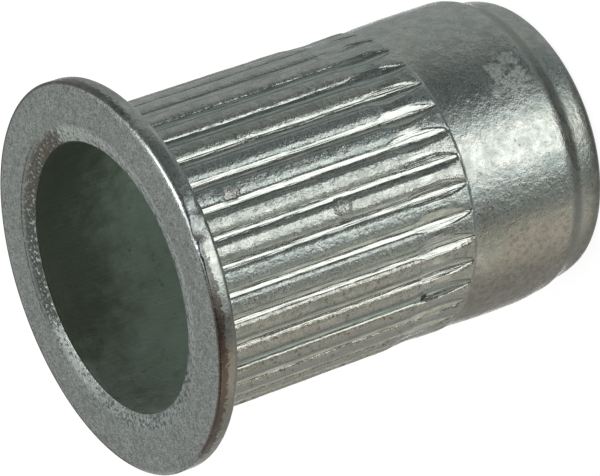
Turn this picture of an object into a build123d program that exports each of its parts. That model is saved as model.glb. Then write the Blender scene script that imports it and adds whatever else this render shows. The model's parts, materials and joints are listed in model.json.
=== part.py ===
"""Blind rivet nut for an M8 bolt, flat head, knurled shank, open end.  One piece of zinc-plated steel.

Frame: millimetres, +Z up.  The nut stands on its threaded end, so the origin is the centre of the
end face and the flange is at the top.  A bolt comes in from above, through the wide thin-walled
bore, and screws into the narrow threaded end below.

The thread itself is fine detail and is not cut here: its hole is bored to the minor diameter.
"""
from build123d import *

import os
from math import atan, degrees, radians, sqrt, tan

# ---- Driving dimensions, overall --------------------------------------------------------------
overall_length = 17.35          # end face to flange face
shank_diameter = 10.98          # smooth collar, enters an 11 mm hole in the sheet

# ---- Flange -----------------------------------------------------------------------------------
flange_diameter = 13.9
flange_thickness = 0.8
flange_back_rounding = 0.28     # edge on the sheet side
flange_front_rounding = 0.07    # edge on the open side, nearly sharp

# ---- Bore and thread --------------------------------------------------------------------------
thin_wall = 0.69                # collar radius to bore radius: this wall folds when the nut is set
bore_depth = 7.6                # flange face to the start of the thread's lead-in
mouth_width = 0.82              # dished ring between the bore and the flat flange face
mouth_dish = 0.08               # how far that ring sinks before the bore's edge
mouth_rounding = 0.12
thread_diameter = 8.0           # M8 x 1.25
thread_pitch = 1.25
lead_in_angle = 60.0            # of the cone from the bore down to the thread, from the axis
exit_chamfer = 0.75             # at the thread's lower end

# ---- Knurl ------------------------------------------------------------------------------------
ridge_count = 36
ridge_relief = 0.02             # how far the crests lie inside the collar's radius
groove_depth = 0.22
groove_floor_width = 0.16
floor_ease_depth = 0.022        # height of the narrow flat that eases each corner of the floor
floor_ease_angle = 26.0         # this angle and the next two are from the crest's tangent
groove_wall_angle = 52.0
crest_ease_angle = 30.0
crest_ease_depth = 0.03         # height of the narrow flat that eases each edge of a crest
knurl_length = 10.45            # underside of the flange to the ends of the ridges
runout_length = 1.4             # over which each groove rises to the surface
runout_overlap = 0.12           # how far the groove's end runs past the ridge ends

# ---- Waist between knurl and collar -----------------------------------------------------------
waist_depth = 0.07              # inside the collar's radius
ridge_end_slope = 0.2           # length of the step down from crest to waist
waist_blend = 1.4               # length over which the waist swells to the collar
collar_edge_ease = 0.3          # length over which each side of that corner is rounded away

# ---- Threaded end -----------------------------------------------------------------------------
nose_length = 1.75              # from the shoulder to the end face
nose_angle = 17.0               # half angle of the nose cone
shoulder_step = 0.12            # radial drop of the rounded shoulder onto the cone
shoulder_length = 0.28
shoulder_rounding = 0.14
end_rounding = 0.32

# ---- Worked out from the above ----------------------------------------------------------------
flange_radius = flange_diameter / 2
shank_radius = shank_diameter / 2
ridge_radius = shank_radius - ridge_relief
waist_radius = shank_radius - waist_depth
collar_edge_rounding = collar_edge_ease / tan(atan(waist_depth / waist_blend) / 2)
bore_radius = shank_radius - thin_wall
thread_height = thread_pitch * sqrt(3) / 2
thread_hole_radius = thread_diameter / 2 - 5 / 8 * thread_height   # internal minor radius

flange_underside = overall_length - flange_thickness
knurl_end = flange_underside - knurl_length
waist_top = knurl_end - ridge_end_slope
bore_floor = overall_length - bore_depth
lead_in_height = (bore_radius - thread_hole_radius) / tan(radians(lead_in_angle))
cone_top = nose_length - shoulder_length
cone_radius = shank_radius - shoulder_step                         # at the top of the nose cone
end_radius = cone_radius - cone_top * tan(radians(nose_angle))     # before its edge is rounded


def turned(corners):
    """Solid turned from a half section, a list of (radius, height, rounding) corners."""
    points = [(radius, height) for radius, height, rounding in corners]
    roundings = [rounding for radius, height, rounding in corners]
    section = make_face(Plane.XZ * FilletPolyline(*points, radius=roundings, close=True))
    return revolve(section, Axis.Z)


def make_blank():
    """The nut before knurling: flange, straight shank, waist, collar and nose, still solid."""
    return turned([
        (0, 0, 0),
        (end_radius, 0, end_rounding),
        (cone_radius, cone_top, 0),
        (shank_radius, nose_length, shoulder_rounding),
        (shank_radius, waist_top - waist_blend, collar_edge_rounding),
        (waist_radius, waist_top, 0),
        (ridge_radius, knurl_end, 0),
        (ridge_radius, flange_underside, 0),
        (flange_radius, flange_underside, flange_back_rounding),
        (flange_radius, overall_length, flange_front_rounding),
        (0, overall_length, 0),
    ])


def make_bore():
    """What is hollow: dished mouth, wide bore, lead-in, thread hole and its lower chamfer."""
    past_face = 1.0
    thread_top = bore_floor - lead_in_height
    mouth_edge = overall_length - mouth_dish
    mouth_radius = bore_radius + mouth_width
    return turned([
        (0, -past_face, 0),
        (thread_hole_radius + exit_chamfer + past_face, -past_face, 0),
        (thread_hole_radius, exit_chamfer, 0),
        (thread_hole_radius, thread_top, 0),
        (bore_radius, bore_floor, 0),
        (bore_radius, mouth_edge, mouth_rounding),
        (mouth_radius, overall_length, 0),
        (mouth_radius, overall_length + past_face, 0),
        (0, overall_length + past_face, 0),
    ])


def groove_section():
    """Outline of one groove on the +X side of the shank: x is outwards, y is along the crest.

    From the floor outwards each side has three flats: the floor's eased corner, the wall, and the
    crest's eased edge, which carries on past the surface so that the cutter clears the steel.
    """
    clear_of_crest = 2 * groove_depth
    wall_height = groove_depth - floor_ease_depth - crest_ease_depth
    flats = [
        (floor_ease_depth, floor_ease_angle),
        (wall_height, groove_wall_angle),
        (crest_ease_depth + clear_of_crest, crest_ease_angle),
    ]
    x = ridge_radius - groove_depth
    y = groove_floor_width / 2
    side = [(x, y)]
    for height, angle in flats:
        x = x + height
        y = y + height / tan(radians(angle))
        side.append((x, y))
    other_side = [(x, -y) for x, y in reversed(side)]
    return make_face(Polyline(*side, *other_side, close=True))


def make_groove():
    """Cutter for one groove: straight, then rising on an arc until it runs out of the steel."""
    run = runout_length + runout_overlap
    sweep_past_surface = 1.6    # how many times the run the cutter is carried round
    arc_radius = (run ** 2 + groove_depth ** 2) / (2 * groove_depth)
    full_depth_end = knurl_end - runout_overlap + run
    section = Pos(0, 0, full_depth_end) * groove_section()
    straight = extrude(section, flange_underside - full_depth_end)
    centre_x = ridge_radius - groove_depth + arc_radius
    turning_axis = Axis((centre_x, 0, full_depth_end), (0, 1, 0))
    sweep_angle = degrees(sweep_past_surface * run / arc_radius)
    return straight + revolve(section, turning_axis, -sweep_angle)


def make_rivet_nut():
    """The whole nut: blank, less its bore, less a ring of knurl grooves."""
    grooves = PolarLocations(0, ridge_count) * make_groove()
    return make_blank() - make_bore() - grooves


rivet_nut = make_rivet_nut()

os.makedirs("parts", exist_ok=True)
export_step(rivet_nut, "parts/rivet_nut.step")
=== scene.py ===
# %% [markdown]
# # A knurled rivet nut in bright zinc plate
#
# The object is a blind rivet nut: a thin flange, a wide thin-walled bore, a knurled shank, and a
# smooth collar that holds the thread. It is one piece of steel, cold formed in a press, with its
# knurl rolled in afterwards, and then zinc plated. The solid model gives its true size. This file
# dresses it: one detailed mesh stands for the solid, with rolled ridges, a real thread and the
# knocks that small parts pick up in a bin, and the finish is made of procedural nodes.
#
# The nut stands on its threaded end, so +Z runs up its axis to the flange. Angles are degrees
# round that axis from +X, and the side that faces the camera is near -90.

import json
from math import atan2, ceil, cos, degrees, exp, hypot, pi, radians, sin, tan

import bmesh
import bpy
from mathutils import Matrix, Vector, noise


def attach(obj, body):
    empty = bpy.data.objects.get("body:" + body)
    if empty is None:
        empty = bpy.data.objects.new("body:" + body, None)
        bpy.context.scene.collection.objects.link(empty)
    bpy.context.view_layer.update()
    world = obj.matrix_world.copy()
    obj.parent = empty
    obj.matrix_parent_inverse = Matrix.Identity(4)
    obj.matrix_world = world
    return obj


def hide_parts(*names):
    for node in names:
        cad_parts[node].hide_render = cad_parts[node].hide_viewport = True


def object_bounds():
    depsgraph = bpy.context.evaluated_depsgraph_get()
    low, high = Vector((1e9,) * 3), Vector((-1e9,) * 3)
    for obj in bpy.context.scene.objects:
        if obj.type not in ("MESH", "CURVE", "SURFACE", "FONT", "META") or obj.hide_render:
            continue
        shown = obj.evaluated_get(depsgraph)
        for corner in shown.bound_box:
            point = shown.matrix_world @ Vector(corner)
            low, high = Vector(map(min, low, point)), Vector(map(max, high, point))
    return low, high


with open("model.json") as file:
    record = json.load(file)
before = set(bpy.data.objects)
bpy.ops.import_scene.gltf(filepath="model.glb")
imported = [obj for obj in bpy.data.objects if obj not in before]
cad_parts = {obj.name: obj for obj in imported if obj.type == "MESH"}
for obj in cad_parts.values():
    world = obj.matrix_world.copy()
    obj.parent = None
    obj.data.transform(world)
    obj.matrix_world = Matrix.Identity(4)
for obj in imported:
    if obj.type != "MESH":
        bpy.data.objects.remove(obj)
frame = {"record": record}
cad_low, cad_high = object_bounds()

MM = 0.001
mounts = {mount["name"]: mount for mount in frame["record"]["mounts"]}
top = cad_high.z                                            # the flange face
flange_radius = cad_high.x
seat = mounts["flange_seat"]["pos_m"][2]                    # the flange's underside
bore_radius = mounts["entry_bore"]["dims"]["r_mm"] * MM
thread_radius = mounts["thread"]["dims"]["r_mm"] * MM       # at the thread's crests
collar_radius = mounts["shank"]["dims"]["r_mm"] * MM
print(f"height {top / MM:.2f} mm, flange {2 * flange_radius / MM:.2f} mm across")
print(f"bore {2 * bore_radius / MM:.2f} mm, collar {2 * collar_radius / MM:.2f} mm across")

# %% [markdown]
# ## The camera
#
# A long lens from a hand's width away shows a small part with little perspective. The camera looks
# down at the standing nut and is rolled by more than a right angle, so that the nut's axis runs
# across the frame, with the flange on the left. Rolling the camera is better than laying the nut
# down, because the object keeps its place on its own axis.

# %% Place the camera
camera_place = Vector((-1.713, -136.620, 85.372)) * MM
camera_aim = Vector((-0.823, 0.481, 9.535)) * MM
camera_roll = radians(-109.315)

camera_data = bpy.data.cameras.new("camera")
camera_data.lens = 271.8
camera_data.sensor_width = 36.0
camera_data.clip_start = 1 * MM
camera_data.clip_end = 10.0
camera = bpy.data.objects.new("camera", camera_data)
bpy.context.scene.collection.objects.link(camera)
bpy.context.scene.camera = camera
look = (camera_aim - camera_place).to_track_quat("-Z", "Y").to_matrix()
camera.matrix_world = (
    Matrix.Translation(camera_place) @ (look @ Matrix.Rotation(camera_roll, 3, "Z")).to_4x4()
)
print(f"camera {(camera_aim - camera_place).length / MM:.0f} mm away")

# %% [markdown]
# ## The bore and the flange
#
# Everything but the knurl and the thread is round, so it could be a stack of cylinders, or one
# section turned about the axis as on a lathe. Turning gives the roundings and the dished mouth in
# one go. The mesh starts as half a section: a chain of edges from the thread's exit up the bore
# and round the flange. Rounding a chain's corners before it is spun is far simpler than bevelling
# the finished ring.

# %% Measure the bore and the flange
exit_chamfer = 0.75 * MM
bore_floor = top - 7.6 * MM
lead_in = (bore_radius - thread_radius) / tan(radians(60))
mouth_radius = bore_radius + 0.66 * MM
mouth_dish = 0.13 * MM
edge_ease = 0.27 * MM                          # where the flange's edge is rubbed round
rim_radius = collar_radius + 0.25 * MM         # where the two skins meet under the flange
print(f"bore {(top - bore_floor) / MM:.1f} mm deep, mouth {2 * mouth_radius / MM:.2f} mm across")

# %% Draw the half section
def half_section(corners):
    """A chain of edges in the XZ plane, from (radius, height, ease, segments) corners.

    ease is the length that the rounding takes from each side of the corner, 0 for a sharp one.
    """
    mesh = bmesh.new()
    verts = [mesh.verts.new((radius, 0, height)) for radius, height, ease, segments in corners]
    for first, second in zip(verts, verts[1:]):
        mesh.edges.new((first, second))
    for vert, (radius, height, ease, segments) in list(zip(verts, corners)):
        if ease > 0:
            bmesh.ops.bevel(mesh, geom=[vert], offset=ease, offset_type="OFFSET",
                            affect="VERTICES", segments=segments, profile=0.5, material=-1)
    return mesh


inside = half_section([
    (thread_radius + exit_chamfer, 0, 0, 0),
    (thread_radius, exit_chamfer, 0, 0),
    (thread_radius, bore_floor - lead_in, 0, 0),
    (bore_radius, bore_floor, 0.15 * MM, 3),
    (bore_radius, top - mouth_dish, 0.06 * MM, 3),
    (mouth_radius, top, 0.16 * MM, 4),
    (mouth_radius + 0.34 * MM, top, 0, 0),
    (flange_radius - 0.3 * MM, top, 0, 0),
    (flange_radius, top, edge_ease, 7),
    (flange_radius, seat, 0.28 * MM, 6),
    (rim_radius, seat, 0, 0),
])
print(f"half section: {len(inside.edges)} edges")

# %% Divide its long edges
def divide(mesh, low, high, spacing):
    """Splits the chain's edges between two heights until none is longer than spacing."""
    for edge in list(mesh.edges):
        middle = (edge.verts[0].co.z + edge.verts[1].co.z) / 2
        cuts = ceil(edge.calc_length() / spacing - 1e-6) - 1
        if low < middle < high and cuts > 0:
            bmesh.ops.subdivide_edges(mesh, edges=[edge], cuts=cuts)


thread_pitch = 1.25 * MM
rings_per_pitch = 11
divide(inside, 0, bore_floor, thread_pitch / rings_per_pitch)
divide(inside, bore_floor, top - 0.2 * MM, 0.9 * MM)
print(f"divided: {len(inside.edges)} edges")

# %% [markdown]
# ## Turning by sectors
#
# One spin of the section round the whole circle would do, but a fine one is slow. So only a sector
# is spun, and its copies are then spun round and merged at their seams, which gives the same ring
# much sooner. The knurl needs this as well, because one ridge is a sector of its own. A spin
# leaves its edges and faces in an order that changes from run to run, so they are sorted after it,
# and every run gives the same mesh.

# %% Turn the section
def turn_sector(mesh, sector, steps):
    """Spins a half section through one sector, centred on the X axis."""
    back = Matrix.Rotation(-sector / 2, 3, "Z")
    bmesh.ops.rotate(mesh, verts=mesh.verts[:], cent=(0, 0, 0), matrix=back)
    bmesh.ops.spin(mesh, geom=mesh.verts[:] + mesh.edges[:], cent=(0, 0, 0), axis=(0, 0, 1),
                   dvec=(0, 0, 0), angle=sector, steps=steps, use_merge=False,
                   use_normal_flip=False, use_duplicate=False)
    mesh.verts.index_update()
    for items in (mesh.edges, mesh.faces):
        items.sort(key=lambda item: sum(vert.index ** 3 for vert in item.verts))


def repeat_sector(mesh, count):
    """Spins copies of a sector all the way round and merges their seams."""
    bmesh.ops.spin(mesh, geom=mesh.verts[:] + mesh.edges[:] + mesh.faces[:], cent=(0, 0, 0),
                   axis=(0, 0, 1), dvec=(0, 0, 0), angle=2 * pi * (count - 1) / count,
                   steps=count - 1, use_merge=False, use_normal_flip=False, use_duplicate=True)
    bmesh.ops.remove_doubles(mesh, verts=mesh.verts[:], dist=1e-7)


bore_sectors = 12
turn_sector(inside, radians(360 / bore_sectors), 18)
repeat_sector(inside, bore_sectors)
print(f"bore and flange: {len(inside.faces)} faces")

# %% [markdown]
# ## The thread
#
# The real thread is cut by a tap after the blank is formed. It could be a helix swept along its
# path and cut out, which leaves a ragged mesh. A right-hand screw groove rises by one pitch a
# turn, so the depth at a point depends only on its height less its share of a turn. Each vertex of
# the plain hole moves out to that depth where the groove is deeper than the hole, which also lets
# the thread run out cleanly in the chamfer and in the lead-in cone.

# %% Cut the thread
thread_depth = 0.6766 * MM
root_flat = thread_pitch / 16                  # half the width of the groove's root


def thread_cut(height, angle):
    """How far the tap reaches beyond the plain hole at a height and an angle."""
    share = (height / thread_pitch - angle / (2 * pi)) % 1.0
    across = abs(share - 0.5) * thread_pitch
    flank = (across - root_flat) / (thread_depth * tan(radians(30)))
    return thread_depth * (1 - min(max(flank, 0.0), 1.0))


for vert in inside.verts:
    radius = hypot(vert.co.x, vert.co.y)
    if vert.co.z < bore_floor and radius < bore_radius - 0.02 * MM:
        cut = thread_radius + thread_cut(vert.co.z, atan2(vert.co.y, vert.co.x))
        if cut > radius:
            vert.co.x *= cut / radius
            vert.co.y *= cut / radius
print(f"thread: {(bore_floor - lead_in) / thread_pitch:.1f} turns")

# %% [markdown]
# ## The shank
#
# The shank has three lengths: the knurl under the flange, a shallow waist where the rollers
# stopped, and the smooth collar, which steps down over a rounded shoulder to the nose. It is
# turned as the bore was, from its own half section, but only through one ridge of the knurl, so
# that the groove has to be pressed in only once.

# %% Measure the shank
ridge_radius = collar_radius - 0.02 * MM
knurl_end = seat - 10.55 * MM
waist_top = knurl_end - 0.2 * MM
waist_radius = collar_radius - 0.085 * MM
waist_blend = 1.4 * MM
nose_length = 1.75 * MM
ridge_count = 36
ridge_pitch = 2 * pi / ridge_count
groove_steps = [0.35, 0.63, 1.0, 1.65, 2.35, 2.95, 3.3, 3.8, 5.0]      # degrees from its middle
knock_bands = ((10.95 * MM, 1.0 * MM), (14.65 * MM, 0.7 * MM))         # each a height and a length
print(f"knurl {(seat - knurl_end) / MM:.2f} mm long, {ridge_count} ridges")

# %% Draw and turn one sector of it
shank = half_section([
    (rim_radius, seat, 0, 0),
    (ridge_radius, seat, 0, 0),
    (ridge_radius, knurl_end - 0.02 * MM, 0.04 * MM, 2),
    (waist_radius, waist_top + 0.07 * MM, 0.05 * MM, 3),
    (collar_radius, waist_top - waist_blend, 0.6 * MM, 4),
    (collar_radius, nose_length + 0.05 * MM, 0.2 * MM, 4),
    (collar_radius - 0.29 * MM, nose_length - 0.55 * MM, 0.12 * MM, 3),
    (collar_radius - 0.36 * MM, nose_length - 1.13 * MM, 0.12 * MM, 2),
    (collar_radius - 0.58 * MM, 0, 0.46 * MM, 8),
    (thread_radius + exit_chamfer, 0, 0, 0),
])
divide(shank, knurl_end, seat, 0.345 * MM)
divide(shank, 0.01 * MM, knurl_end, 0.4 * MM)
divide(shank, knurl_end, knurl_end + 2.0 * MM, 0.13 * MM)
for knock_height, knock_length in knock_bands:
    divide(shank, knock_height - knock_length / 2, knock_height + knock_length / 2, 0.09 * MM)
turn_sector(shank, ridge_pitch, 2 * len(groove_steps))
print(f"one sector: {len(shank.faces)} faces")

# %% [markdown]
# ## The knurl
#
# Thirty-six ridges are rolled along the shank, so that the nut grips the sheet it is set in. They
# run straight from under the flange and end in a short slope, where the roller lifted out. Cutting
# thirty-six grooves with a boolean would be slow and would break the even rings. Here the steps of
# the one sector are moved so that they fall on the groove's corners, the groove is pressed in by
# moving vertices inward, and thirty-six copies make the ring. Its two walls differ a little,
# because the steel flowed to one side. The rim under the flange stays evenly stepped, ready to be
# joined.

# %% Press the groove into the sector
gentle_side = [(0.03, 0.120), (0.10, 0.102), (0.31, 0.016), (0.38, 0)]       # mm across, mm deep
steep_side = [(0.03, 0.120), (0.09, 0.105), (0.28, 0.004), (0.33, 0)]
runout_start = knurl_end + 0.9 * MM            # above this height the groove is full depth
runout_radius = 5.2 * MM                       # of the arc on which it rises to the ridge ends


def groove_cut(across, height):
    """How deep the groove is, at a distance to one side of its middle and at a height."""
    profile = gentle_side if across > 0 else steep_side
    depth = profile[0][1]
    for (start, start_depth), (end, end_depth) in zip(profile, profile[1:]):
        share = min(max((abs(across) / MM - start) / (end - start), 0.0), 1.0)
        depth += share * (end_depth - start_depth)
    lift = max(runout_start - height, 0.0)
    return depth * MM - lift * lift / (2 * runout_radius)


for vert in shank.verts:
    radius = hypot(vert.co.x, vert.co.y)
    if vert.co.z > knurl_end - 0.15 * MM and radius < collar_radius:
        angle = degrees(atan2(vert.co.y, vert.co.x))
        step = round(abs(angle) / groove_steps[-1] * len(groove_steps))
        angle = radians(groove_steps[step - 1]) * (1 if angle > 0 else -1) if step else 0.0
        radius = min(radius, ridge_radius - groove_cut(angle * ridge_radius, vert.co.z))
        vert.co.x = radius * cos(angle)
        vert.co.y = radius * sin(angle)
repeat_sector(shank, ridge_count)
print(f"shank: {len(shank.faces)} faces")

# %% [markdown]
# ## One closed skin
#
# The real nut is one piece of steel, so its skin is closed. The two skins meet under the flange
# and at the edge of the thread's exit, but the bore's has a third as many vertices on its rims.
# Bridging unequal rims makes long thin triangles. Two cuts in each of the bore's rim edges make
# the counts equal instead, and then the rims merge by distance. The cuts lie on flat faces, where
# they can't be seen.

# %% Join the skins
rims = [edge for edge in inside.edges if edge.is_boundary]
bmesh.ops.subdivide_edges(inside, edges=rims, cuts=2)
inside_mesh = bpy.data.meshes.new("inside")
inside.to_mesh(inside_mesh)
inside.free()
nut = shank
nut.from_mesh(inside_mesh)
bpy.data.meshes.remove(inside_mesh)
rims = [vert for vert in nut.verts if vert.is_boundary]
bmesh.ops.remove_doubles(nut, verts=rims, dist=0.002 * MM)
bmesh.ops.recalc_face_normals(nut, faces=nut.faces[:])
print(f"open edges left: {sum(1 for edge in nut.edges if edge.is_boundary)}")
print(f"enclosed: {nut.calc_volume(signed=True) / MM ** 3:.0f} cubic mm of steel")

# %% [markdown]
# ## Knocks and unevenness on the shank
#
# A perfect ring of ridges looks like a drawing. Real ones are rolled into a soft blank, so their
# tops are a little uneven and their lines waver, and loose nuts in a bin dent each other. This
# could be left to bump in the material, but a knock that catches the light at its edge has to be
# in the shape. Each vertex moves by a few hundredths of a millimetre at most. The noise is read at
# the vertex's own place, so it runs on without a seam and is the same on every run.

# %% Describe one knock
def waver(point, scale):
    """Smooth noise from about -1 to 1, with about scale swells a millimetre."""
    return noise.noise(point * (scale / MM))


def spot(angle, height, at_angle, at_height, wide, tall):
    """How far a point is from a knock's middle, where 1 is the knock's edge."""
    aside = (angle - at_angle + 180) % 360 - 180
    return hypot(radians(aside) * ridge_radius / (wide * MM), (height / MM - at_height) / tall)


def flake(distance, lift):
    """How far a knock's torn metal stands up, in millimetres, where 1 is the knock's edge."""
    return lift * exp(-distance ** 4)


print(f"halfway to its edge, a flake keeps {flake(0.5, 1.0):.0%} of its lift")

# %% Place the knocks
crest_chip = (-93.4, 10.9)                     # an angle in degrees and a height in millimetres
seat_chip = (-76.8, 14.66)


def knocked(point, angle):
    """How far the knocks lift the knurl at a point, in millimetres."""
    height = point.z
    torn = 0.8 + 1.1 * waver(point, 3.5)
    lift = torn * flake(spot(angle, height, *crest_chip, 0.3, 0.3), 0.07)
    lift -= flake(spot(angle, height, -94.6, 11.27, 0.14, 0.09), 0.03)
    lift += torn * flake(spot(angle, height, *seat_chip, 0.24, 0.26), 0.055)
    lift += flake(spot(angle, height, -55, 12.9, 0.1, 0.1), 0.03)
    slanted = angle - 30 * (height / MM - 7.86)
    return lift - 0.06 * exp(-spot(slanted, height, -140, 7.86, 0.1, 0.22) ** 2)


print(f"the chip on the crest lies {crest_chip[1]:.1f} mm up, at {crest_chip[0]:.0f} degrees")

# %% Step the ridges
def stepped(height):
    """How far the ridges stand above the turned ones, in millimetres, about a faint step."""
    below = 1 / (1 + exp((height / MM - 8.28) / 0.03))            # 1 below the step, 0 above it
    return (1 - below) * 0.024 - below * 0.045 * exp(-((height / MM - 7.4) / 0.7) ** 2)


print(f"the step is {stepped(8.5 * MM) - stepped(8.1 * MM):.3f} mm high")

# %% Wear the shank
most_lifted = 0.0
for vert in nut.verts:
    radius = hypot(vert.co.x, vert.co.y)
    on_wall = bore_radius + 0.05 * MM <= radius <= rim_radius - 0.05 * MM
    if not on_wall or vert.co.z < 0.4 * MM:
        continue
    angle = degrees(atan2(vert.co.y, vert.co.x))
    height = vert.co.z
    swell = 0.004 * waver(vert.co, 0.7) + 0.002 * waver(vert.co, 2.5)
    far_side = exp(-(((abs(angle) - 180) / 38) ** 2))             # the collar is rubbed more here
    swell -= far_side * 0.09 * exp(-((height / MM - 1.95) / 0.4) ** 2)
    if height > knurl_end - 0.1 * MM:
        crest = min(max((radius - ridge_radius) / (0.05 * MM) + 1, 0.0), 1.0)
        swell += crest * (0.010 * waver(vert.co, 1.6) + 0.006 * waver(vert.co, 4.0))
        swell += stepped(height) + knocked(vert.co, angle)
        angle += 0.22 * waver(Vector((vert.co.x, vert.co.y, height * 0.35)), 0.55)
    most_lifted = max(most_lifted, swell)
    radius += swell * MM
    vert.co.x = radius * cos(radians(angle))
    vert.co.y = radius * sin(radians(angle))
print(f"the knocks stand up by {most_lifted:.2f} mm at most")

# %% [markdown]
# ## The flange's edge
#
# A pressed flange has a crisp edge, and rubbing on other nuts rounds it over part of the way. Two
# edges of different roundness can't come from one spin, so the whole edge was turned round, and is
# now drawn out to a crisp one where nothing has rubbed it. Then a slanting nick, a small tear and
# a faint waviness go in, all by moving vertices towards the axis.

# %% Sharpen the edge where nothing has rubbed it
rubbed_middle = -56                            # degrees
rubbed_spread = 36
crisp = 0.2                                    # of the rounding that stays elsewhere

for vert in nut.verts:
    inward = flange_radius - hypot(vert.co.x, vert.co.y)
    down = top - vert.co.z
    if inward < edge_ease * 1.01 and down < edge_ease * 1.01:
        angle = degrees(atan2(vert.co.y, vert.co.x))
        keep = crisp + (1 - crisp) * exp(-(((angle - rubbed_middle) / rubbed_spread) ** 4))
        share = (flange_radius - inward * keep) / (flange_radius - inward)
        vert.co = (vert.co.x * share, vert.co.y * share, top - down * keep)
print(f"edge rounding: {edge_ease / MM:.2f} mm, {crisp * edge_ease / MM:.2f} mm where it is crisp")

# %% Nick and tear it
deepest = 0.0
for vert in nut.verts:
    radius = hypot(vert.co.x, vert.co.y)
    if radius > flange_radius - 0.3 * MM:
        angle = degrees(atan2(vert.co.y, vert.co.x))
        edge = min((radius - flange_radius) / (0.3 * MM) + 1, 1.0)
        down = (top - vert.co.z) / (top - seat)
        slanted = angle - 11 * down
        nick = 0.10 * exp(-(((slanted + 88.5) / 1.8) ** 2))
        nick += 0.05 * exp(-(((slanted + 94) / 1.3) ** 2))
        tear = exp(-(((angle + 47) / 9) ** 2)) * max(waver(vert.co, 3.0), 0) * 0.08
        uneven = 0.004 * (1 + waver(vert.co, 0.45))
        deepest = max(deepest, edge * (nick + tear + uneven))
        share = 1 - edge * (nick + tear + uneven) * MM / radius
        vert.co.x *= share
        vert.co.y *= share
bmesh.ops.recalc_face_normals(nut, faces=nut.faces[:])
print(f"the nick is {deepest:.2f} mm deep")

# %% [markdown]
# ## The piece
#
# The mesh becomes one object at the origin, with its place in its vertices. It stands for the
# solid of the same nut, so that solid is hidden, and it moves with the same body. Its faces are
# shaded smooth, because the roundings are fine enough to carry their own light.

# %% Make the object
for face in nut.faces:
    face.smooth = True
nut_mesh = bpy.data.meshes.new("rivet_nut_skin")
nut.to_mesh(nut_mesh)
nut.free()
piece = bpy.data.objects.new("rivet_nut_skin", nut_mesh)
bpy.context.scene.collection.objects.link(piece)
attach(piece, "root")
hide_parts("rivet_nut")
print(f"skin: {sum(len(face.vertices) - 2 for face in nut_mesh.polygons)} triangles")

# %% [markdown]
# ## Zinc plate
#
# Bright zinc is a pale, slightly green-grey metal. Here it is worn in different ways: rolling has
# polished the grooves, tumbling has pitted the ridge tops and the collar, the flange face has a
# sandy skin, and the bore holds a dull film of oil and dust. These could be several materials on
# chosen faces, but the wear runs across their borders. So one material covers them all, and is
# wired by a few short helpers, because the same kinds of node come back many times.

# %% Start the material
zinc = bpy.data.materials.new("zinc_plate")
zinc.use_nodes = True
nut_mesh.materials.append(zinc)
tree = zinc.node_tree
shader = tree.nodes["Principled BSDF"]
shader.inputs["Metallic"].default_value = 1.0


def add(kind, feeds, **settings):
    """A node with its properties set, and its inputs fed from sockets or plain values."""
    made = tree.nodes.new(kind)
    for name, value in settings.items():
        setattr(made, name, value)
    for key, value in feeds.items():
        if isinstance(value, bpy.types.NodeSocket):
            tree.links.new(value, made.inputs[key])
        else:
            made.inputs[key].default_value = value
    return made


def tell(finish):
    """Prints how far the node tree has grown."""
    print(f"{finish}: {len(tree.nodes)} nodes so far")


tell("bare shader")

# %% [markdown]
# ## Where a point is
#
# Every pattern and mask starts from the point's own place on the nut. Object coordinates give it
# in metres, and a Mapping node turns that into millimetres, so that each size below can be
# compared with a ruler. The height up the axis, the distance out from it and the angle round it
# then say which part of the nut the point belongs to, so nothing needs unwrapping or painting.

# %% Read the point's place
def maths(operation, *values):
    """The result of one Math node."""
    return add("ShaderNodeMath", dict(enumerate(values)), operation=operation).outputs[0]


def times(first, *others):
    """The product of two or more numbers."""
    for other in others:
        first = maths("MULTIPLY", first, other)
    return first


object_point = add("ShaderNodeTexCoord", {}).outputs["Object"]
in_mm = add("ShaderNodeMapping", {"Vector": object_point, "Scale": (1000, 1000, 1000)}).outputs[0]
axes = add("ShaderNodeSeparateXYZ", {"Vector": in_mm}).outputs
sideways, up = axes[0], axes[2]
flat = add("ShaderNodeVectorMath", {0: in_mm, 1: (1, 1, 0)}, operation="MULTIPLY").outputs[0]
out = add("ShaderNodeVectorMath", {0: flat}, operation="LENGTH").outputs["Value"]
turn = times(maths("ARCTAN2", axes[1], axes[0]), 180 / pi)         # in degrees
tell("coordinates")

# %% [markdown]
# ## Masks for the skins
#
# A mask is a number from 0 to 1 over the surface. One for each skin of the nut is made from soft
# steps of height and distance. The steps are a few hundredths of a millimetre wide, so that skins
# blend at a border as real ones do, where a hard step would look like a painted line.

# %% Make soft steps
def rise(value, start, end, low=0.0, high=1.0):
    """A soft step: low before start, high after end."""
    feeds = {"Value": value, "From Min": start, "From Max": end, "To Min": low, "To Max": high}
    return add("ShaderNodeMapRange", feeds, interpolation_type="SMOOTHSTEP").outputs["Result"]


def between(value, start, end, soft):
    """1 between start and end, falling to 0 within soft outside them."""
    return times(rise(value, start - soft, start), rise(value, end, end + soft, 1, 0))


def besides(mask):
    """1 where a mask is 0, and 0 where it is 1."""
    return maths("SUBTRACT", 1.0, mask)


top_mm, seat_mm, knurl_end_mm = top / MM, seat / MM, knurl_end / MM
bore_mm, mouth_mm, flange_mm = bore_radius / MM, mouth_radius / MM, flange_radius / MM
collar_mm, ridge_mm = collar_radius / MM, ridge_radius / MM
print(f"face at {top_mm:.2f} mm, seat at {seat_mm:.2f} mm, knurl's end at {knurl_end_mm:.2f} mm")

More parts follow.
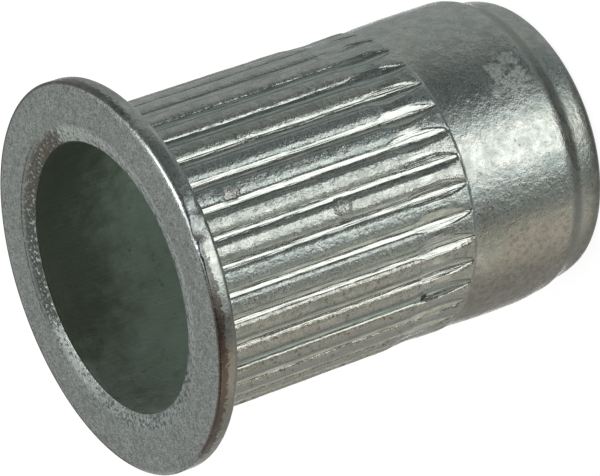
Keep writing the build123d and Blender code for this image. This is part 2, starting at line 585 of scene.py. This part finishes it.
# %% Mask each skin
in_bore = times(rise(out, bore_mm + 0.01, bore_mm + 0.05, 1, 0), rise(up, 0.5, 0.8))
on_face = times(rise(up, top_mm - 0.06, top_mm - 0.02), rise(out, bore_mm, bore_mm + 0.1))
on_mouth = times(rise(up, top_mm - 0.2, top_mm - 0.15),
                 rise(out, mouth_mm - 0.25, mouth_mm + 0.05, 1, 0))
on_shank = times(rise(up, seat_mm, seat_mm - 0.05), rise(out, 4.9, 5.0))
on_knurl = times(between(up, knurl_end_mm, seat_mm, 0.05),
                 rise(out, collar_mm + 0.3, collar_mm + 0.1))
in_groove = times(on_knurl, rise(out, ridge_mm - 0.02, ridge_mm - 0.06))
on_rim = rise(out, flange_mm - 0.15, flange_mm - 0.08)
on_edge = times(on_rim, rise(up, top_mm - 0.14, top_mm - 0.08))
aged = rise(sideways, -0.5, -5.0)              # one side of the nut is yellowed by age
tell("masks")

# %% [markdown]
# ## Patterns
#
# Zinc plate shows several grains at once: tiny crystals, small pits, broad mottling and, in the
# grooves, lines drawn out along them by the roller. Each could be an image, but noise has no seams
# or edges and can be read at any distance. One noise of each size is made here and shared by
# colour, gloss and relief, so that a pit is dark, dull and deep in the same place.

# %% Make the patterns
def grain(where, scale, detail, roughness):
    """Noise with about scale features a millimetre, centred on 0.5."""
    feeds = {"Vector": where, "Scale": scale, "Detail": detail, "Roughness": roughness}
    return add("ShaderNodeTexNoise", feeds).outputs["Fac"]


along = add("ShaderNodeMapping", {"Vector": object_point, "Scale": (1000, 1000, 60)}).outputs[0]
speckle = grain(in_mm, 15.0, 2.0, 0.6)
pits = grain(in_mm, 7.0, 2.0, 0.55)
stains = grain(in_mm, 4.5, 3.0, 0.65)
mottle = grain(in_mm, 2.0, 6.0, 0.68)
cloud = grain(in_mm, 0.35, 2.0, 0.5)
streaks = grain(along, 11.0, 2.0, 0.6)         # stretched along the axis
tell("patterns")

# %% [markdown]
# ## Patches and chips
#
# The collar has a scuff and a brown rubbed patch, whose lighter part is a painted warm reflection,
# and two ridge tops have chips whose torn metal shines. A mask with a smooth outline looks like a
# sticker, so noise is added to the angle and the height, or to the distance from a chip's middle,
# before the soft step, which makes the outline ragged. The chips lie where the mesh has its knocks.

# %% Mask the patches and the chips
def patch(turn_low, turn_high, low, high, soft):
    """A ragged patch between two angles in degrees and two heights in millimetres."""
    ragged_turn = maths("ADD", turn, rise(mottle, 0.2, 0.8, -6, 6))
    ragged_up = maths("ADD", up, rise(mottle, 0.25, 0.75, 0.5, -0.5))
    return times(between(ragged_turn, turn_low, turn_high, soft * 10),
                 between(ragged_up, low, high, soft))


def chip(at_turn, at_up, size):
    """A ragged round patch about a point on the shank."""
    across = times(maths("SUBTRACT", turn, at_turn), radians(1) * collar_mm)
    along_shank = maths("SUBTRACT", up, at_up)
    away = maths("SQRT", maths("ADD", times(across, across), times(along_shank, along_shank)))
    away = maths("ADD", away, rise(pits, 0.3, 0.7, -0.25 * size, 0.25 * size))
    return rise(away, size, 0.75 * size)


chip_size = 0.34                               # millimetres from the middle to the edge
chips = maths("ADD", chip(*crest_chip, chip_size), chip(*seat_chip, chip_size))
scuff = times(patch(-72, -61, 2.3, 3.4, 0.3), rise(stains, 0.36, 0.5))
# Partly a brown stain and partly a painted warm reflection, where the warm fill is mirrored.
brown_patch_and_painted_sheen = patch(-138, -125, 2.0, 4.7, 0.25)
tell("patches and chips")

# %% [markdown]
# ## The plate's colour
#
# The plate on the ridge tops and the collar is the ground that the other skins lie on. It shifts
# between a paler and a duller grey, with faint teal clouds from the passivating bath, bluer bands
# that are a painted reflection along the edges of the bright band, and yellowing on its aged side.
# Colour is built like paint, in layers: each line lays one colour over the last where its mask is
# 1.
# That is easier to read and to change than one large mixture.

# %% Colour the plate and its wear
def shade(share, first, second):
    """A colour between two, by share."""
    feeds = {"Factor": share, 6: first, 7: second}
    return add("ShaderNodeMix", feeds, data_type="RGBA").outputs[2]


pale = (0.69, 0.735, 0.69, 1)
dull = (0.51, 0.57, 0.52, 1)
teal = (0.42, 0.52, 0.49, 1)
reflection_blue = (0.42, 0.53, 0.53, 1)
scuffed = (0.76, 0.82, 0.78, 1)
torn_metal = (0.88, 0.90, 0.87, 1)
yellowed = (0.60, 0.56, 0.46, 1)

# Painted reflection: bluer bands where the edges of the key light's reflection fall on the collar.
painted_reflection_bands = maths("ADD", between(turn, -80, -62, 7), between(turn, -116, -103, 5))
# Its colour: brown stain where dark, a painted warm reflection where pale.
brown_and_sheen_colour = shade(rise(stains, 0.38, 0.52), (0.42, 0.37, 0.28, 1), (0.80, 0.76, 0.66, 1))
plate = shade(rise(mottle, 0.35, 0.65), dull, pale)
plate = shade(times(rise(cloud, 0.5, 0.7), 0.18), plate, teal)
plate = shade(times(painted_reflection_bands, 0.5), plate, reflection_blue)
plate = shade(times(scuff, 0.65), plate, scuffed)
plate = shade(times(chips, 0.8), plate, torn_metal)
plate = shade(times(brown_patch_and_painted_sheen, 0.75), plate, brown_and_sheen_colour)
plate = shade(times(aged, rise(mottle, 0.3, 0.6, 0.35, 0.75)), plate, yellowed)
tell("plate and its wear")

# %% [markdown]
# ## The rolled grooves
#
# The roller burnished the grooves, so they are cleaner and brighter than the ridge tops, with fine
# lines along them. A straight stripe pattern would be too even. Noise read through a Mapping node
# that shrinks the axis's direction comes out as long broken lines instead.

# %% Colour the grooves
rolled = shade(rise(streaks, 0.35, 0.65), (0.51, 0.58, 0.53, 1), (0.76, 0.80, 0.76, 1))
rolled = shade(times(rise(streaks, 0.56, 0.66), 0.45), rolled, teal)
rolled = shade(times(aged, 0.3), rolled, yellowed)
teal_bands = maths("ADD", between(turn, -52, -34, 3), between(turn, -142, -139.6, 0.8))
rolled = shade(times(teal_bands, 0.55), rolled, (0.44, 0.56, 0.53, 1))
plate = shade(in_groove, plate, rolled)
tell("grooves")

# %% [markdown]
# ## The flange's face
#
# The face was struck by a flat punch and then tumbled, which leaves it sandy: close grains of
# light and dark, and a few broad smudges. Two noises of different size are mixed for the grains,
# because a single one looks too regular. The finer one also darkens the whole nut a little.

# %% Colour the flange's face
smudge = (0.30, 0.33, 0.31, 1)
sand_grain = maths("ADD", times(speckle, 0.6), times(pits, 0.4))
sandy = shade(rise(sand_grain, 0.38, 0.6), (0.30, 0.325, 0.305, 1), (0.63, 0.665, 0.63, 1))
sandy = shade(rise(mottle, 0.6, 0.35, 0.0, 0.35), sandy, smudge)
plate = shade(on_face, plate, sandy)
plate = shade(rise(speckle, 0.62, 0.38, 0.0, 0.3), plate, (0.30, 0.33, 0.30, 1))
tell("flange face")

# %% [markdown]
# ## Rust on the ridge tops
#
# On the aged side the plate has worn through on some ridge tops, and small brown spots come up. A
# noise that passes a threshold gives such spots. They are kept out of the grooves, whose plate is
# whole.

# %% Spot the ridge tops with rust
rust = times(rise(stains, 0.42, 0.33), on_knurl, rise(sideways, -1.8, -3.0), besides(in_groove))
plate = shade(times(rust, 0.75), plate, (0.20, 0.16, 0.11, 1))
tell("rust")

# %% [markdown]
# ## The mouth
#
# Where the bore meets the face, the tumbling has beaten the dished ring into little beads. Each
# bead is painted with a glint on its top and painted shade at its foot, by the same noise that
# raises them later. On one side the painted shade is darker and the glints fewer, another side has
# a brown tinge, and a dark worn line follows the ring's outer edge.

# %% Colour the mouth, with painted glints and shade on its beads
# Painted shade: the side where the beads' feet are darker and their glints fewer.
painted_dark_side = between(turn, 5, 92, 14)
painted_foot_shade = shade(painted_dark_side, (0.38, 0.42, 0.39, 1), (0.12, 0.13, 0.115, 1))
# Painted glints on the beads' tops, over painted shade at their feet.
painted_glint = rise(maths("SUBTRACT", pits, times(painted_dark_side, 0.17)), 0.38, 0.47)
bead_glints_and_shade = shade(painted_glint, painted_foot_shade, (0.80, 0.86, 0.82, 1))
plate = shade(times(on_mouth, 0.9), plate, bead_glints_and_shade)
brown_side = times(on_mouth, between(turn, 8, 48, 10), rise(stains, 0.4, 0.6, 0.6, 0.15))
plate = shade(brown_side, plate, (0.24, 0.19, 0.13, 1))
tell("beads")

# %% Draw the worn line and grey the far side
line_mm = mouth_mm + 0.05
worn_line = times(between(out, line_mm, line_mm + 0.03, 0.05), between(turn, 24, 92, 12),
                  rise(up, top_mm - 0.2, top_mm - 0.1), rise(stains, 0.4, 0.6, 0.95, 0.4))
plate = shade(worn_line, plate, (0.10, 0.10, 0.08, 1))
far_round = rise(maths("ABSOLUTE", turn), 118, 146)
grey_side = times(on_mouth, far_round, rise(pits, 0.44, 0.56, 0.85, 0.35))
plate = shade(grey_side, plate, (0.20, 0.25, 0.24, 1))
tell("worn line")

# %% [markdown]
# ## The rim
#
# The flange's thin edge touches everything that the nut meets. Its front edge is rubbed bright,
# and the plate below has gone, which leaves a dark stain that turns brown on one side. The dark
# band is painted shade as well as stain: it leaves out the rim where the lamps catch it. It follows
# the rim in patches, so it is masked by angle, with ragged noise at the ends, once for the half
# next to the face and once, fainter, for the half next to the seat. The nick is painted darker, as
# shade.

# %% Brighten the rim and paint its stain, its shade and its darker nick
rubbed = times(on_edge, rise(turn, -96, -88, 0.0, 0.7))
plate = shade(rubbed, plate, (0.80, 0.81, 0.79, 1))

middle_mm = top_mm - 0.30                      # the border between the rim's two halves
ragged_turn = maths("ADD", turn, rise(stains, 0.3, 0.7, -5, 5))
ragged_up = maths("ADD", up, rise(pits, 0.3, 0.7, -0.08, 0.08))
face_half = times(on_rim, rise(ragged_up, middle_mm - 0.04, middle_mm + 0.04))
seat_half = times(on_rim, rise(ragged_up, middle_mm + 0.04, middle_mm - 0.04))
# Stain and painted shade: the bands leave out the angles where the lamps light the rim.
face_stain_and_shade = maths("ADD", between(ragged_turn, -158, -94, 7), between(ragged_turn, -40, 150, 14))
seat_stain_and_shade = maths("ADD", between(ragged_turn, -150, -112, 8), between(ragged_turn, -20, 150, 25))
stain_and_shade = maths("ADD", times(face_half, face_stain_and_shade), times(seat_half, seat_stain_and_shade, 0.45))
stain_and_shade = times(stain_and_shade, rise(mottle, 0.3, 0.5, 0.6, 0.92))
stain_and_shade_colour = shade(rise(ragged_turn, -100, -108), (0.13, 0.135, 0.13, 1), (0.155, 0.115, 0.09, 1))
plate = shade(stain_and_shade, plate, stain_and_shade_colour)
# Painted shade in the nick: the rim is darker there.
nick_painted_shade = times(on_rim, between(ragged_turn, -92, -81, 3), rise(stains, 0.56, 0.44, 0.15, 0.75))
plate = shade(nick_painted_shade, plate, (0.24, 0.27, 0.28, 1))
tell("rim")

# %% [markdown]
# ## Dirt in the pits and painted shade in the shoulder
#
# Dirt stays where a thumb can't rub it off, in open pits. The pits are the lowest values of the
# noise that dents the surface, so the dirt sits in its dents. The shoulder above the nose is
# painted darker, as painted shade.

# %% Fill the pits and paint shade into the shoulder
dirt = (0.16, 0.15, 0.12, 1)
open_pits = times(rise(pits, 0.36, 0.26), besides(in_groove))
plate = shade(times(open_pits, 0.6), plate, dirt)
# Painted shade: a darker band in the shoulder above the nose.
shoulder_painted_shade = times(between(up, 1.4, 1.6, 0.3), rise(mottle, 0.25, 0.6, 0.25, 0.7))
plate = shade(shoulder_painted_shade, plate, (0.24, 0.245, 0.21, 1))
tell("dirt")

# %% [markdown]
# ## The bore
#
# The bore is covered by a green-grey film of oil and dust, and its colour is painted darker near
# the mouth and lighter deeper down and on one side, as painted shade and light. A rough noise with
# many octaves gives the film soft clouds with fine edges, and a few dark specks lie on it. It goes
# on over the plate as one skin, because no plate shows through.

# %% Film the bore and paint its shade and light
# Painted shade near the mouth, painted light deeper down.
painted_light_by_depth = rise(up, top_mm - 0.5, top_mm - 5.0, -0.22, 0.12)
dust_and_painted_light = maths("ADD", rise(grain(in_mm, 1.6, 6.0, 0.75), 0.1, 0.9, 0.36, 0.64), painted_light_by_depth)
# Painted light: lighter on one side.
dust_and_painted_light = maths("ADD", dust_and_painted_light, rise(sideways, -0.5, -3.5, 0.0, 0.28))
film_and_painted_light = shade(rise(dust_and_painted_light, 0.3, 0.65), (0.30, 0.325, 0.26, 1), (0.60, 0.68, 0.62, 1))
film_and_painted_light = shade(rise(stains, 0.40, 0.30, 0.0, 0.45), film_and_painted_light, (0.20, 0.24, 0.21, 1))
plate = shade(in_bore, plate, film_and_painted_light)
tell("bore")

# %% [markdown]
# ## Grime on the collar and painted shade on the nose
#
# Handling leaves brown grime on the aged side of the collar, and the nose's lowest part is painted
# darker on one side, as painted shade. Last come two small marks on the knurl: a faint dark line at
# the step across the ridges, and one black nick. Marks are laid on after the skins, so that nothing
# covers them.

# %% Lay the grime, the nose's painted shade and the last marks
on_collar = rise(up, knurl_end_mm, knurl_end_mm - 0.2)
grime = times(on_collar, rise(sideways, -3.5, -4.6), rise(stains, 0.35, 0.6, 0.85, 0.4))
plate = shade(grime, plate, (0.29, 0.26, 0.20, 1))
# Painted shade: the lowest part of the nose is darker on one side.
nose_painted_shade = times(rise(up, 1.3, 0.3), rise(sideways, 2.0, -1.6), rise(mottle, 0.3, 0.6, 0.8, 0.5))
plate = shade(nose_painted_shade, plate, (0.20, 0.18, 0.14, 1))
step_line = times(between(up, 8.24, 8.30, 0.05), rise(streaks, 0.4, 0.6, 0.15, 0.5), on_knurl)
plate = shade(step_line, plate, (0.28, 0.34, 0.32, 1))
black_nick = times(between(turn, -141.5, -140.3, 0.8), between(up, 7.8, 8.0, 0.06))
plate = shade(times(black_nick, 0.9), plate, (0.06, 0.05, 0.04, 1))
tree.links.new(plate, shader.inputs["Base Color"])
tell("grime and marks")

# %% [markdown]
# ## Gloss
#
# Roughness says how widely a metal spreads its reflections: a mirror has 0, and chalk has 1. The
# burnished grooves and the beads are the glossiest, and the film in the bore and the scuff are the
# dullest. A value for each skin is chosen by its mask, and then the noises move it a little,
# because an even gloss looks like plastic.

# %% Set the gloss of each skin
def choose(share, first, second):
    """A number between two, by share."""
    return add("ShaderNodeMix", {0: share, 2: first, 3: second}, data_type="FLOAT").outputs[0]


gloss = 0.32                                   # the plate's own roughness
for mask, roughness in ((in_groove, 0.24), (on_face, 0.34), (on_mouth, 0.24), (on_edge, 0.27),
                        (scuff, 0.55), (brown_patch_and_painted_sheen, 0.42), (in_bore, 0.52)):
    gloss = choose(mask, gloss, roughness)
gloss = maths("ADD", gloss, rise(speckle, 0.2, 0.8, -0.08, 0.08))
gloss = maths("ADD", gloss, rise(mottle, 0.3, 0.7, 0.06, -0.06))
tree.links.new(gloss, shader.inputs["Roughness"])
tell("gloss")

# %% [markdown]
# ## Relief
#
# The smallest dents are too many to model, so they are bump: a height in millimetres that tilts
# the light without moving the surface. The plate is lightly hammered, the face sandy, the mouth
# beaded and the chips torn, and the grooves have only their drawn lines. Bump suits marks of a
# few hundredths of a millimetre, and the larger knocks are already in the mesh.

# %% Raise the sand, the pits and the beads
hammered = choose(on_knurl, 0.007, 0.014)
sand_height = choose(on_face, hammered, rise(turn, 20, -40, 0.034, 0.052))
sand = times(maths("SUBTRACT", speckle, 0.5), sand_height)
pitted = times(rise(pits, 0.45, 0.25), choose(on_mouth, -0.003, -0.03))
bead_height = maths("ADD", times(on_mouth, 0.075), times(on_shank, 0.026))
bead_height = maths("ADD", bead_height, times(on_knurl, 0.018))
beads = times(grain(in_mm, 4.2, 4.0, 0.62), bead_height)
torn_chips = times(chips, stains, 0.085)
ripple = times(maths("SUBTRACT", mottle, 0.5), 0.016)
tell("sand, pits and beads")

# %% Add them up and smooth the rubbed edge
rough_skin = sand
for height in (pitted, beads, torn_chips, ripple):
    rough_skin = maths("ADD", rough_skin, height)
rough_skin = times(rough_skin, rise(on_edge, 0.2, 0.8, 1.0, 0.35))
drawn = times(maths("SUBTRACT", streaks, 0.5), 0.022)
relief = choose(in_groove, rough_skin, drawn)
bump = add("ShaderNodeBump", {"Height": relief, "Strength": 1.0, "Distance": MM})
tree.links.new(bump.outputs["Normal"], shader.inputs["Normal"])
tell("relief")

# %% [markdown]
# ## The light table
#
# The nut stands on a lit table of frosted glass. The floor is one flat grid, just under the nut so
# that their faces don't fight. It glows for the camera only, which makes it pale without throwing
# more light on the object, and a little matt white in it keeps the nut's soft shadow. Metal would
# mirror an evenly glowing floor as one flat grey, so the floor is left out of reflections and
# casts no shadow, and the lamps below it take the place of the lit glass.

# %% Lay the floor
floor_mesh = bmesh.new()
bmesh.ops.create_grid(floor_mesh, x_segments=1, y_segments=1, size=0.6)
bmesh.ops.translate(floor_mesh, verts=floor_mesh.verts[:], vec=(0, 0, -0.02 * MM))
floor_data = bpy.data.meshes.new("floor")
floor_mesh.to_mesh(floor_data)
floor_mesh.free()
floor = bpy.data.objects.new("floor", floor_data)
bpy.context.scene.collection.objects.link(floor)
floor.visible_glossy = False
floor.visible_shadow = False
print(f"floor: {floor.dimensions.x:.1f} m square")

# %% Light it for the camera
glass = bpy.data.materials.new("frosted_glass")
glass.use_nodes = True
tree = glass.node_tree
tree.nodes.clear()
lit = add("ShaderNodeLightPath", {}).outputs["Is Camera Ray"]
glow = add("ShaderNodeEmission", {"Strength": times(lit, 0.92)})
matt = add("ShaderNodeBsdfDiffuse", {"Color": (0.25, 0.25, 0.25, 1)})
mixed = add("ShaderNodeAddShader", {0: glow.outputs[0], 1: matt.outputs[0]})
add("ShaderNodeOutputMaterial", {"Surface": mixed.outputs[0]})
floor_data.materials.append(glass)
tell("frosted glass")

# %% [markdown]
# ## The room
#
# What a metal reflects is most of how it looks. White all round would turn the nut an even chalk
# white and lose its dark bands. So the camera, and rays through glass, see a white room, and
# reflections see a dim one, which is darkest behind the camera and below the table. Light Path
# tells the rays apart, and the direction of the ray sets the dim room's shade.

# %% Paint the room
world = bpy.data.worlds.new("studio")
bpy.context.scene.world = world
world.use_nodes = True
tree = world.node_tree
background = tree.nodes["Background"]
background.inputs["Color"].default_value = (1, 1, 1, 1)
direction = add("ShaderNodeTexCoord", {}).outputs["Generated"]
toward = add("ShaderNodeSeparateXYZ", {"Vector": direction}).outputs
away = maths("SUBTRACT", toward["Y"], times(toward["Z"], 0.35))
dimmest, palest = 0.10, 0.38
room = rise(away, -0.25, 0.12, dimmest, palest)
room = times(room, rise(toward["Z"], -0.96, -0.89, 0.3, 1.0))       # darker straight below
rays = add("ShaderNodeLightPath", {}).outputs
seen = maths("MAXIMUM", rays["Is Camera Ray"], rays["Is Transmission Ray"])
tree.links.new(choose(seen, room, 1.0), background.inputs["Strength"])
tell("room")

# %% [markdown]
# ## The lamps
#
# Softboxes stand for the lit table and for two windows. The key lies below the floor's level in
# front, where the standing walls of the nut mirror it as the bright band along the knurl, and its
# size sets the band's width. A weak warm one fills the left, a third lights the far side, and two
# from above light the flange's face and its edge. Area lamps are used because a metal mirrors
# their shape, where a point lamp would leave only small hard glints.

# %% Hang the softboxes
def softbox(name, azimuth, elevation, distance, width, height, power, color):
    """An area lamp that faces the nut's middle from a direction, unseen by the camera."""
    data = bpy.data.lights.new(name, "AREA")
    data.shape = "RECTANGLE"
    data.size = width
    data.size_y = height
    data.energy = power
    data.color = color
    lamp = bpy.data.objects.new(name, data)
    bpy.context.scene.collection.objects.link(lamp)
    middle = Vector((0, 0, top / 2))
    outward = Vector((cos(radians(azimuth)) * cos(radians(elevation)),
                      sin(radians(azimuth)) * cos(radians(elevation)),
                      sin(radians(elevation))))
    lamp.location = middle + outward * distance
    lamp.rotation_euler = outward.to_track_quat("Z", "Y").to_euler()
    lamp.visible_camera = False
    return lamp


lamps = [
    softbox("key_below", -95, -29, 0.25, 0.17, 0.22, 0.215, (1, 0.97, 0.955)),
    softbox("fill_below", -166, -27, 0.25, 0.11, 0.14, 0.024, (1, 0.90, 0.76)),
    softbox("far_below", 90, -22, 0.25, 0.13, 0.16, 0.11, (1, 1, 1)),
    softbox("top_light", -60, 66, 0.3, 0.34, 0.2, 0.5, (1, 1, 1)),
    softbox("far_light", 74, 54, 0.3, 0.12, 0.1, 0.024, (0.94, 1, 0.98)),
]
print(f"{len(lamps)} softboxes, {sum(lamp.data.energy for lamp in lamps):.2f} W in all")

# %% [markdown]
# ## The view
#
# The Standard view shows a colour as it is written, where a filmic one would grey it. Dressing a
# model must not change its size: the skin has to lie inside the solid's box on every side.

# %% Set the view and finish
bpy.context.scene.view_settings.view_transform = "Standard"
bpy.context.view_layer.update()
